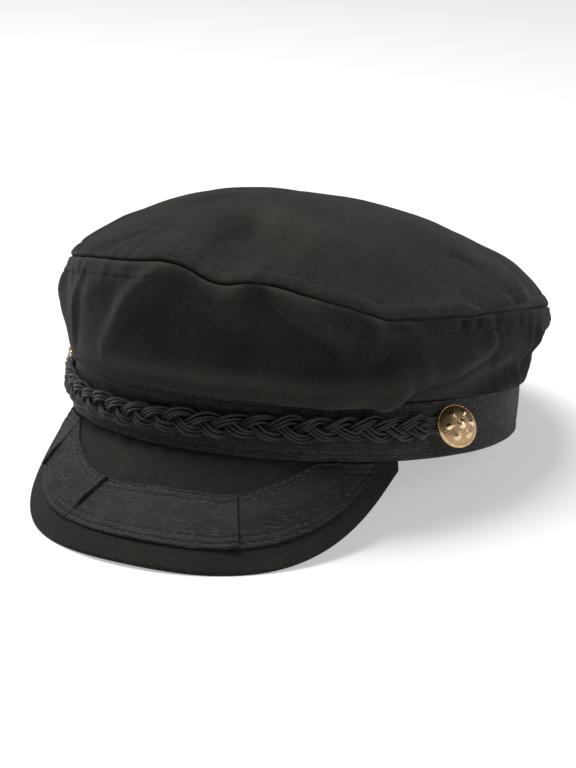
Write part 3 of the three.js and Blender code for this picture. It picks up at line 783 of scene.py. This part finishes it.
for name, side, swing, node in (
    ("brass_button_left", 1, button_angle, "button_left"),
    ("brass_button_right", -1, -far_button_angle, "button_right"),
):
    out = straight_out(swing)
    own = np.stack([np.cross([0, 0, 1], out), [0, 0, 1], out])
    points = np.concatenate([foot, askew(head, -side)]) @ own
    points += round_head(swing, ribbon_face, cord_height)
    n, m = points.shape[:2]
    index = np.arange(n * m).reshape(n, m)
    right = np.roll(index, -1, 1)
    quads = np.stack([index[:-1], right[:-1], right[1:], index[1:]], -1).reshape(-1, 4)
    caps = np.stack([index[0][::-1], index[-1]])
    button = made(name, on_table(points.reshape(-1, 3), False) / 1000, [quads, caps])
    layer = button.data.attributes.new("hollow", "FLOAT", "POINT")
    values = np.concatenate([np.zeros(foot.shape[:2]), hollow]).astype(np.float32)
    layer.data.foreach_set("value", values.ravel())
    button.data.materials.append(brass_finish.material)
    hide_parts(node)

# Crown sides
# Two soft panels of the same cotton, gathered to the band below and seamed to the top panel,
# with seams at the sides. They sag over the band at the front and fold where they are slack.
seam_height = 47.5
seam_reach = 8.0
roll_depth = 5.0
fold_depth = 5.0
crown_cloth = 1.5
side_seam = 88.0
side_round = 620.0
row_from_seam = 6.0
row_from_side_seam = 2.4
# The top seam round the cap: its height and reach as shares of the sizes above
seam_rows = (
    (0, 1.0, 0.75),
    (11, 0.92, 0.7),
    (19, 0.94, 0.75),
    (31, 0.85, 0.78),
    (46, 0.72, 0.82),
    (62, 0.72, 0.88),
    (84, 0.71, 0.92),
    (102, 0.63, 0.92),
    (120, 0.53, 1.0),
    (150, 0.47, 1.35),
    (180, 0.45, 1.6),
    (210, 0.47, 1.35),
    (240, 0.54, 1.0),
    (270, 0.64, 0.7),
    (300, 0.76, 0.42),
    (330, 0.93, 0.62),
    (349, 0.99, 0.72),
)
seam_table = dict(zip(("angle", "height", "reach"), zip(*seam_rows)))
# How far the slack lets that seam settle, and how much fuller it stands out, in millimetres
seam_slack = {
    "angle": (-120, -80, -62, -46, -30, -14, -5, 2, 7, 12, 18)
    + (22, 30, 41, 46, 51, 58, 70, 82, 94, 110, 135),
    "rise": (0, -0.8, -1.3, -1.8, -2.4, -2.3, -1.3, -1.6, -3.1, -2.7, -1.8)
    + (-2.1, -1.7, -1.0, -2.0, -1.2, -0.8, -0.9, -0.2, 0, 0.5, 0),
}
seam_fullness = {
    "angle": (-150, -125, -100, -75, -50, 0, 80, 105, 125, 145, 165),
    "out": (0, 1.6, 2.4, 1.8, 0, 0, 0, 0.0, 0.2, 0.0, 0),
}
# The side panels' section, from the band up: shares of the seam's height and reach, roll and sag
profile_table = {
    "level": (0, 0.07, 0.15, 0.25, 0.4, 0.6, 0.8, 0.92, 1),
    "rise": (0, 0.005, 0.04, 0.14, 0.33, 0.6, 0.84, 0.96, 1),
    "seam": (0, 0, 0.05, 0.15, 0.35, 0.65, 0.95, 1.0, 1),
    "roll": (-0.2, 0.35, 0.8, 0.95, 0.85, 0.75, 0.4, 0.15, 0),
    "sag": (0, 0.14, 0.16, 0, 0, 0, 0, 0, 0),
}
# Broad folds: angle, level, their half widths, slant, and depth as a share of the fold depth
broad_folds = (
    (12, 0.52, 30, 0.2, 0, -0.75),
    (44, 0.62, 14, 0.22, 20, -0.45),
    (-28, 0.7, 8, 0.2, 40, 0.3),
    (62, 0.3, 14, 0.18, 70, 0.55),
    (84, 0.32, 13, 0.16, 60, -0.9),
    (122, 0.5, 18, 0.12, 0, -0.75),
    (122, 0.24, 20, 0.16, 0, -0.7),
    (122, 0.78, 18, 0.14, 0, 0.3),
    (150, 0.45, 12, 0.2, 40, -0.7),
    (196, 0.4, 14, 0.2, -50, -0.8),
    (232, 0.5, 14, 0.16, 30, -0.7),
    (268, 0.35, 12, 0.2, -50, -0.6),
    (302, 0.2, 25, 0.16, 0, -0.55),
    (302, 0.62, 12, 0.2, 10, 0.25),
)


def turn_between(start, to):
    """Shortest way round from one angle to another, in degrees."""
    return np.mod(to - start + 540, 360) - 180


def seam_rise(angle):
    """Height of the top seam above the band: the table's, and what it settles under its slack."""
    height = seam_height * through(angle, seam_table["angle"], seam_table["height"], 360)
    return height + through(angle, seam_slack["angle"], seam_slack["rise"], 360)


def seam_out(angle):
    """How far the top seam stands out beyond the band."""
    reach = seam_reach * through(angle, seam_table["angle"], seam_table["reach"], 360)
    return reach + through(angle, seam_fullness["angle"], seam_fullness["out"], 360)


def seam_line(angle):
    """The top seam's points round the cap."""
    return round_head(angle, ribbon_face, band_height + gap + seam_rise(angle), seam_out(angle))


def side_form(angle, level):
    """Main form of the side panels, from the band (0) to the top seam (1): the table's profile
    scaled to the seam at each angle, with the broad dents and swells added square to the band."""
    column = lambda name: through(level, profile_table["level"], profile_table[name])
    reach = seam_out(angle) * column("seam") + roll_depth * column("roll")
    for at, mid, wide, tall, slant, depth in broad_folds:
        across = turn_between(at + slant * (level - mid), angle) / wide
        spot = bell(across) * bell((level - mid) / tall)
        spot = spot * smooth_step(level / 0.15) * smooth_step((1 - level) / 0.12)
        reach += fold_depth * depth * spot
    height = seam_rise(angle) * column("rise")
    z = band_height + gap + height - roll_depth * column("sag")
    return round_head(angle, ribbon_face, z, reach)


# Distances along the cloth from the top seam, for the seam's stitches and puckers
seam_angles = np.arange(0, 361, 2.0)[:, None]
seam_levels = np.linspace(0, 1, 121)[None]
form = side_form(seam_angles, seam_levels)
steps = np.linalg.norm(np.diff(form, axis=1), axis=-1)
below_seam = np.concatenate([np.cumsum(steps[:, ::-1], 1)[:, ::-1], np.zeros((len(form), 1))], 1)


def from_grid(table, angle, share):
    """Value of a table over angles and shares, straight between its points."""
    x = np.mod(angle, 360) / 2
    y = np.clip(share, 0, 1) * (table.shape[1] - 1)
    x, y = np.broadcast_arrays(x, y)
    i = np.minimum(x.astype(int), table.shape[0] - 2)
    j = np.minimum(y.astype(int), table.shape[1] - 2)
    fx, fy = x - i, y - j
    low = table[i, j] * (1 - fx) + table[i + 1, j] * fx
    return low * (1 - fy) + (table[i, j + 1] * (1 - fx) + table[i + 1, j + 1] * fx) * fy


# Creases: from one place to another (angle, level), how wide in millimetres, and how high the
# ridge stands or how deep the hollow lies, with the hollow that goes beside a ridge
creases = (
    (-4, 0.88, -17, 0.5, 4.2, 2.8, 0),
    (-17, 0.5, -22, 0.3, 4.2, 1.2, 0),
    (-31, 0.86, -39, 0.3, 2.4, 0.9, -1),
    (-52, 0.86, -50, 0.45, 5.0, 1.0, -1),
    (17, 0.88, 33, 0.52, 5.0, -4.0, 0),
    (22, 0.92, 40, 0.56, 6.0, 2.3, 0),
    (43, 0.92, 50, 0.7, 3.4, 1.4, 1),
    (51, 0.9, 58, 0.74, 3.4, 1.2, -1),
    (47, 0.12, 52, 0.38, 4.4, 2.8, 1),
    (52, 0.38, 58, 0.5, 4.2, 1.8, 1),
    (56, 0.4, 68, 0.52, 4.4, 2.6, 1),
    (68, 0.52, 75.5, 0.64, 3.8, 2.0, 1),
    (75, 0.64, 74, 0.76, 3.4, 0.8, 1),
    (60, 0.2, 76, 0.36, 7.0, -2.6, 0),
    (66, 0.93, 66, 0.8, 1.8, -1.5, 0),
    (71, 0.93, 69.5, 0.78, 1.8, -1.5, 0),
    (77, 0.9, 76, 0.74, 2.4, -0.9, 0),
    (93, 0.85, 94, 0.2, 3.0, 1.2, -1),
    (99, 0.75, 102, 0.3, 3.0, 1.1, 1),
    (110, 0.8, 118, 0.3, 4.0, -1.2, 0),
    (140, 0.85, 152, 0.3, 4.5, 1.6, 1),
    (168, 0.3, 186, 0.7, 4.5, 1.6, -1),
    (205, 0.85, 216, 0.25, 4.5, 1.5, 1),
    (240, 0.3, 252, 0.75, 4.5, 1.5, -1),
    (272, 0.8, 282, 0.3, 4.0, 1.3, 1),
    (312, 0.82, 300, 0.35, 3.4, 1.1, 1),
)


# Slack that only the finished cloth shows, laid out as the broad folds are, its depth in
# millimetres
slack_folds = (
    (28, 0.5, 16, 0.14, 16, -3.0),
    (16, 0.22, 36, 0.08, 0, 3.0),
    (12, 0.8, 5, 0.15, 10, 1.9),
    (2, 0.56, 8, 0.2, 6, -4.2),
    (14, 0.44, 14, 0.1, 10, -2.6),
    (72, 0.2, 12, 0.14, 30, -3.4),
    (42, 0.26, 9, 0.14, 50, 2.4),
    (122, 0.84, 24, 0.13, 0, -2.4),
    (-80, 0.66, 22, 0.22, 0, -1.9),
    (102, 0.62, 10, 0.1, 0, 1.4),
    (47, 0.67, 6, 0.13, 20, -3.4),
)


def crease(x, y, start, end, wide, tall, partner):
    """Height of a ridge, or of a hollow where tall is below 0, from one place to another in
    millimetres: it bows a little, fades out at its ends and may have a hollow on one side."""
    dx, dy = float(end[0] - start[0]), float(end[1] - start[1])
    size = math.hypot(dx, dy)
    t = ((x - start[0]) * dx + (y - start[1]) * dy) / size**2
    bow = 0.06 * size * np.sin(np.clip(t, 0, 1) * math.pi)
    away = ((x - start[0]) * dy - (y - start[1]) * dx) / size - bow
    height = tall * bell(away / wide)
    if partner:
        height = height - 0.75 * tall * bell((away - partner * 2.1 * wide) / (1.5 * wide))
    return height * smooth_step((t + 0.25) / 0.45) * smooth_step((1.25 - t) / 0.45)


def side_relief(angle, level):
    """What the cloth adds to the side panels' main form, in millimetres square to it: creases,
    slack waves, the drawn-in seams with their welts and puckers, and the gathers at the band."""
    angle, level = np.broadcast_arrays(np.asarray(angle, float), np.asarray(level, float))
    below = from_grid(below_seam, angle, level)
    whole = from_grid(below_seam, angle, 0 * level)
    up = whole - below
    girth = angle / 360 * side_round
    relief = 0.55 * wander(girth, up, 31.0, 51, 20)
    relief += 0.3 * wander(girth + 0.3 * up, up * 0.8, 15.5, 52, 40)
    relief += 0.12 * wander(girth, up, 6.2, 53, 100)
    relief *= smooth_step(up / 8) * smooth_step(below / 12)
    for a0, l0, a1, l1, wide, tall, partner in creases:
        middle = (a0 + a1) / 2
        x = (turn_between(middle, angle) + turn_between(0, middle)) / 360 * side_round
        length = from_grid(below_seam, np.array(middle % 360.0), np.array(0.0))
        start = (turn_between(0, a0) / 360 * side_round, l0 * length)
        end = (turn_between(0, a1) / 360 * side_round, l1 * length)
        relief += crease(x, level * length, start, end, wide, tall, partner)
    from_seams = [np.abs(turn_between(seam, angle)) for seam in (side_seam, -side_seam)]
    seam_side = np.minimum(*from_seams) / 360 * side_round
    for at, mid, wide, tall, slant, depth in slack_folds:
        across = turn_between(at + slant * (level - mid), angle) / wide
        relief += depth * bell(across) * bell((level - mid) / tall) * smooth_step(up / 3)
    rag = 1 + 0.5 * wander(girth, up, 2.6, 57)
    relief += 0.12 * smooth_step((below - 1) / 1.6) * smooth_step((6.6 - below) / 1.4)
    relief = relief - 0.2 * bell(below / 0.5) - 0.35 * rag * bell((below - row_from_seam) / 0.5)
    relief = relief - 0.4 * bell(seam_side / 0.8)
    relief = relief - 0.16 * rag * bell((seam_side - row_from_side_seam) / 0.7)
    level_with_top = 0.8 + 0.2 * bell((np.abs(turn_between(0, angle)) - 105) / 32)
    relief += (1.3 - 0.4 * np.sin(np.radians(angle))) * level_with_top * np.exp(-below / 9)
    pucker = wander(girth, up * 0.25, 4.1, 58, 150) * bell((below - 4) / 5.5)
    gather = wander(girth, up * 0.3, 5.6, 59, 110) * bell(up / 9.0) * smooth_step(up / 2)
    return relief + 0.5 * pucker + 0.35 * gather


def side_cloth(angle, level):
    """The side panels' finished outer face."""
    inside = np.clip(level, 0.003, 0.997)
    relief = side_relief(angle, level)[..., None]
    return side_form(angle, level) + square_to(side_form, angle, inside) * relief


def fade(thing, values):
    """Stores how worn the outer face is, for the material; the inner face stays unworn."""
    worn = np.zeros(len(thing.data.vertices), np.float32)
    worn[: values.size] = values.ravel()
    thing.data.attributes.new("worn", "FLOAT", "POINT").data.foreach_set("value", worn)


seam_gap = 0.005
closer_to_seam = 1.15
inner_share = 0.975
half_gap = math.degrees(seam_gap / (head_length / 2))
tucked_in = 1.2
for name, node, start, end, columns, rows in (
    ("soft_side_front", "crown_side_front", -side_seam, side_seam, 760, 108),
    ("soft_side_back", "crown_side_back", side_seam, 360 - side_seam, 440, 84),
):
    angle = np.linspace(start + half_gap, end - half_gap, columns + 1)[:, None]
    level = 1 - (1 - np.linspace(0, 1, rows + 1)[None]) ** closer_to_seam
    face = side_cloth(angle, level)
    coarse_a, coarse_l = angle[::4], level[:, ::4] * inner_share
    inside = np.clip(coarse_l, 0.003, 0.997)
    back = side_form(coarse_a, coarse_l) - crown_cloth * square_to(side_form, coarse_a, inside)
    chart = joined(angle / 360 * side_round, -from_grid(below_seam, angle, level))
    lap = tucked_in * bell(level / 0.02)
    face[..., 2] -= lap
    back[..., 2] -= lap[:, ::4]
    panel = cloth_body(name, face, back, chart)
    panel.data.materials.append(cotton)
    height = side_relief(angle, level)
    below = from_grid(below_seam, angle, level)
    worn = 0.55 * bell((below - 0.8) / 0.8) + np.clip(height - 0.5, 0, 1) * 0.3
    fade(panel, worn)
    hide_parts(node)

level_down = np.linspace(0, 1, 121)


def level_below(angle, distance):
    """Level of the place that lies a distance below the top seam."""
    table = from_grid(below_seam, angle[:, None], level_down[None])
    return np.array([np.interp(-distance, -row, level_down) for row in table])


def row_on_side(name, angle, level):
    """A row of stitches on the side panels."""
    line = side_cloth(angle, level)
    lift = square_to(side_form, angle, level)
    row = stitches(name, line, lift, thread)


angle = np.linspace(-179, 181, 900)
row_on_side("side_stitches_top", angle, level_below(angle, row_from_seam))
offset = row_from_side_seam / side_round * 360
for name, at in (
    ("side_seam_stitches_left_front", side_seam - offset),
    ("side_seam_stitches_left_back", side_seam + offset),
    ("side_seam_stitches_right_front", -side_seam + offset),
    ("side_seam_stitches_right_back", -side_seam - offset),
):
    level = np.linspace(0.04, 0.9, 120)
    row_on_side(name, np.full(120, at), level)

# Crown top
# One soft panel, domed and slack, seamed round its edge to the side panels with a row of
# stitches on its own side of the seam. Broad dents and small pulled folds run in from the seam.
dome_rise = 31.2
dome_fullness = 2.7
top_round = 640.0
puff_above = 0.5
# Dents and swells: angle, inward, their half widths, and depth as a share of the fold depth
top_dents = (
    (14, 0.3, 14, 0.2, -0.5),
    (62, 0.12, 9, 0.22, -0.45),
    (98, 0.14, 8, 0.14, -0.5),
    (118, 0.15, 24, 0.15, 0.55),
    (145, 0.5, 40, 0.3, -0.45),
    (215, 0.3, 20, 0.25, -0.5),
    (285, 0.3, 16, 0.2, -0.3),
)
seam_front, seam_back = seam_line(np.array(0.0)), seam_line(np.array(180.0))
top_middle = (seam_front + seam_back) / 2


def top_form(angle, inward):
    """Main form of the top panel, from the seam (0) to the middle (1): a sloping plane through
    the seam's front and back, the seam's own waves fading inwards, and a dome over both."""
    edge = seam_line(angle)
    slope = (seam_back[2] - seam_front[2]) / (seam_back[1] - seam_front[1])
    plane = seam_front[2] + (edge[..., 1] - seam_front[1]) * slope
    left = 1 - inward
    x = edge[..., 0] + (top_middle[0] - edge[..., 0]) * inward
    y = edge[..., 1] + (top_middle[1] - edge[..., 1]) * inward
    z = top_middle[2] + (plane - top_middle[2]) * left + (edge[..., 2] - plane) * left**2
    z += dome_rise * (1 - left**dome_fullness)
    z += 0.12 + (gap + 0.2 * crown_cloth - 0.12) * smooth_step(inward / 0.03)
    for at, mid, wide, long, depth in top_dents:
        spot = bell(turn_between(at, angle) / wide) * bell((inward - mid) / long)
        z += fold_depth * depth * spot * smooth_step(inward / 0.08) * smooth_step(left * 2)
    return joined(x, y, z)


inward_steps = np.linspace(0, 1, 121)[None]
form = top_form(seam_angles, inward_steps)
steps = np.linalg.norm(np.diff(form, axis=1), axis=-1)
above_seam = np.concatenate([np.zeros((len(form), 1)), np.cumsum(steps, 1)], 1)
# Soft dents and swells of the finished cloth: angle, inward, half widths in millimetres, depth
top_slack = (
    (10, 0.15, 12.0, 12.0, -2.0),
    (14, 0.33, 16.0, 14.0, 2.0),
    (-30, 0.1, 14.0, 12.0, 1.2),
    (44, 0.25, 16.0, 16.0, 1.0),
)
# Creases of the top panel: from one place to another (angle, inward), width, height, partner
top_creases = (
    (71, 0.03, 78, 0.22, 7.5, -3.2, 0),
    (86, 0.04, 92, 0.16, 7.0, 1.8, 0),
    (88, 0.08, 100, 0.2, 5.0, 1.2, 0),
    (111, 0.02, 117, 0.1, 4.0, -2.8, 0),
    (-42, 0.3, -8, 0.5, 4.5, 1.1, 1),
    (-45, 0.22, -25, 0.34, 3.5, 0.8, -1),
    (-30, 0.03, -18, 0.16, 2.4, 0.7, 1),
    (-20, 0.05, -12, 0.2, 2.6, 0.6, -1),
    (5, 0.1, 12, 0.34, 6.0, -1.0, 0),
    (24, 0.05, 30, 0.3, 4.5, 0.7, 1),
    (46, 0.02, 50, 0.2, 3.4, -0.9, 0),
    (150, 0.05, 160, 0.3, 4.5, 1.2, 1),
    (196, 0.3, 204, 0.04, 4.5, 1.1, -1),
    (238, 0.05, 250, 0.3, 4.5, 1.0, 1),
    (300, 0.05, 306, 0.25, 3.5, 0.8, 1),
)


def top_relief(angle, inward):
    """What the cloth adds to the top panel: creases, slack waves, the welt beside the seam with
    its drawn-in stitch row, and the puckers that the seam pulls in the cloth."""
    angle, inward = np.broadcast_arrays(np.asarray(angle, float), np.asarray(inward, float))
    above = from_grid(above_seam, angle, inward)
    place = top_form(angle, inward)
    x, y = place[..., 0], place[..., 1]
    relief = 0.5 * wander(x, y, 34.0, 61) + 0.35 * wander(x + 0.4 * y, y, 16.0, 62)
    relief += 0.1 * wander(x, y, 6.0, 63)
    relief *= smooth_step(above / 10)
    for a0, i0, a1, i1, wide, tall, partner in top_creases:
        start = top_form(np.array(float(a0)), np.array(i0))
        end = top_form(np.array(float(a1)), np.array(i1))
        relief += crease(x, y, start, end, wide, tall, partner)
    for at, mid, wide, long, depth in top_slack:
        spot = top_form(np.array(float(at)), np.array(mid))
        dent = depth * bell((x - spot[0]) / wide) * bell((y - spot[1]) / long)
        relief += dent * smooth_step(above / 6)
    girth = angle / 360 * top_round
    rag = 1 + 0.5 * wander(girth, above, 2.6, 67, 246)
    relief += 0.12 * smooth_step((above - 0.6) / 1.6) * smooth_step((6.6 - above) / 1.4)
    relief = relief - 0.35 * rag * bell((above - row_from_seam) / 0.5)
    pucker = wander(girth, above * 0.25, 4.0, 68, 160) * bell((above - 4) / 6.0)
    full = 2.4 * bell(turn_between(-115, angle) / 45) + 1.4 * bell(turn_between(138, angle) / 35)
    return relief + 0.5 * pucker + full * above / 16 * np.exp(1 - above / 16)


def top_cloth(angle, inward):
    """The top panel's finished outer face, one cloth above its main form."""
    above = from_grid(above_seam, angle, inward)
    rounded = 1 - np.exp(-above / 0.55)
    out = 0.1 + rounded * (crown_cloth - 0.1 + puff_above * np.exp(-above / 25))
    out = out + top_relief(angle, inward)
    normal = square_to(top_form, angle, np.clip(inward, 0.01, 0.985))
    drawn_in = 0.45 * bell(above / 0.6)
    place = top_form(angle, inward) + normal * out[..., None]
    return place - straight_out(angle) * drawn_in[..., None]


columns, rows = 640, 120
angle = np.linspace(0, 360, columns + 1)[:, None]
inward = (np.linspace(0, 1, rows + 1) ** 1.25)[None]
face = top_cloth(angle, inward)
face[:, -1] = face[:, -2].mean(0)
back = top_form(angle[::4], inward[:, ::4])
back[:, -1] = back[:, -1].mean(0)
turned_in = square_to(side_form, angle[::4, 0], 0.985)
back[:, 0] = side_form(angle[::4, 0], 0.985) - (crown_cloth + 0.25) * turned_in
chart = top_form(angle, inward)[..., :2]
panel = cloth_body("soft_top", face, back, chart, wrap=True, pole=True)
panel.data.materials.append(cotton)
above = from_grid(above_seam, angle, inward)
worn = 0.55 * bell((above - 0.8) / 0.8) + np.clip(top_relief(angle, inward) - 0.6, 0, 1) * 0.25
fade(panel, worn[:-1])
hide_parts("crown_top")
angle = np.linspace(0, 360, 1200)
table = from_grid(above_seam, angle[:, None], inward_steps)
inward = np.array([np.interp(row_from_seam, row, inward_steps[0]) for row in table])
line = top_cloth(angle, inward)
row = stitches("top_stitches", line, square_to(top_form, angle, inward), thread)

# Table, light and camera
# A pale studio table that fills the view, a broad soft light above and in front, a fill on
# each side, and the camera at the photograph's angle, looking slightly down from the front left.
reach = 4.0
flat = np.array([[-reach, -reach, 0], [reach, -reach, 0], [reach, reach, 0], [-reach, reach, 0]])
table_top = made("table_top", flat, [np.array([[0, 1, 2, 3]])])
paper = Finish("pale_paper")
tooth = paper.noise(paper.where((1, 1, 1), source="Object"), 400.0, 3.0)
paper.fill(
    paper.shader,
    {
        "Base Color": paper.mix(tooth, (0.48, 0.48, 0.48, 1), (0.52, 0.52, 0.52, 1)),
        "Emission Color": (1.0, 1.0, 1.0, 1),
        "Emission Strength": 0.44,
        "Roughness": 0.9,
        "Normal": paper.bump(tooth, 0.05, 0.0005),
    },
)
table_top.data.materials.append(paper.material)

world = bpy.data.worlds.new("studio")
world.use_nodes = True
world.node_tree.nodes["Background"].inputs[0].default_value = (1.0, 1.0, 1.0, 1)
world.node_tree.nodes["Background"].inputs[1].default_value = 0.12
bpy.context.scene.world = world
bpy.context.scene.view_settings.view_transform = "Standard"


def facing(place, back):
    """Place and turn of a lamp or camera that looks the other way from back, without a roll."""
    right = np.cross([0, 0, 1], back)
    right = right / np.linalg.norm(right)
    turn = np.eye(4)
    turn[:3] = np.stack([right, np.cross(back, right), back, place], -1)
    return Matrix(turn.tolist())


def soft_light(name, place, size, power):
    """A square area light aimed at the cap."""
    lamp = bpy.data.lights.new(name, "AREA")
    lamp.shape = "SQUARE"
    lamp.size = size
    lamp.energy = power
    thing = bpy.data.objects.new(name, lamp)
    bpy.context.scene.collection.objects.link(thing)
    away = np.array(place) - np.array([0, 0, 0.05])
    thing.matrix_world = facing(place, away / np.linalg.norm(away))


soft_light("overhead", (-0.45, -0.1, 1.5), 0.9, 32)
soft_light("left_side", (-1.2, 0.3, 1.0), 0.7, 5)
soft_light("right_side", (1.2, 0.0, 0.6), 0.8, 5)

azimuth, elevation, distance = math.radians(27.23), math.radians(19.76), 0.9
back = np.array([math.sin(azimuth), -math.cos(azimuth), 0]) * math.cos(elevation)
back[2] = math.sin(elevation)
camera_data = bpy.data.cameras.new("camera")
camera_data.sensor_width = 36
camera_data.lens = 2.421040 * 900 / 768 * 36
camera_data.shift_x = -9.3625 / 768
camera_data.shift_y = 25.4085 / 768
camera = bpy.data.objects.new("camera", camera_data)
camera.matrix_world = facing(band_centre / 1000 + distance * back, back)
bpy.context.scene.collection.objects.link(camera)
bpy.context.scene.camera = camera
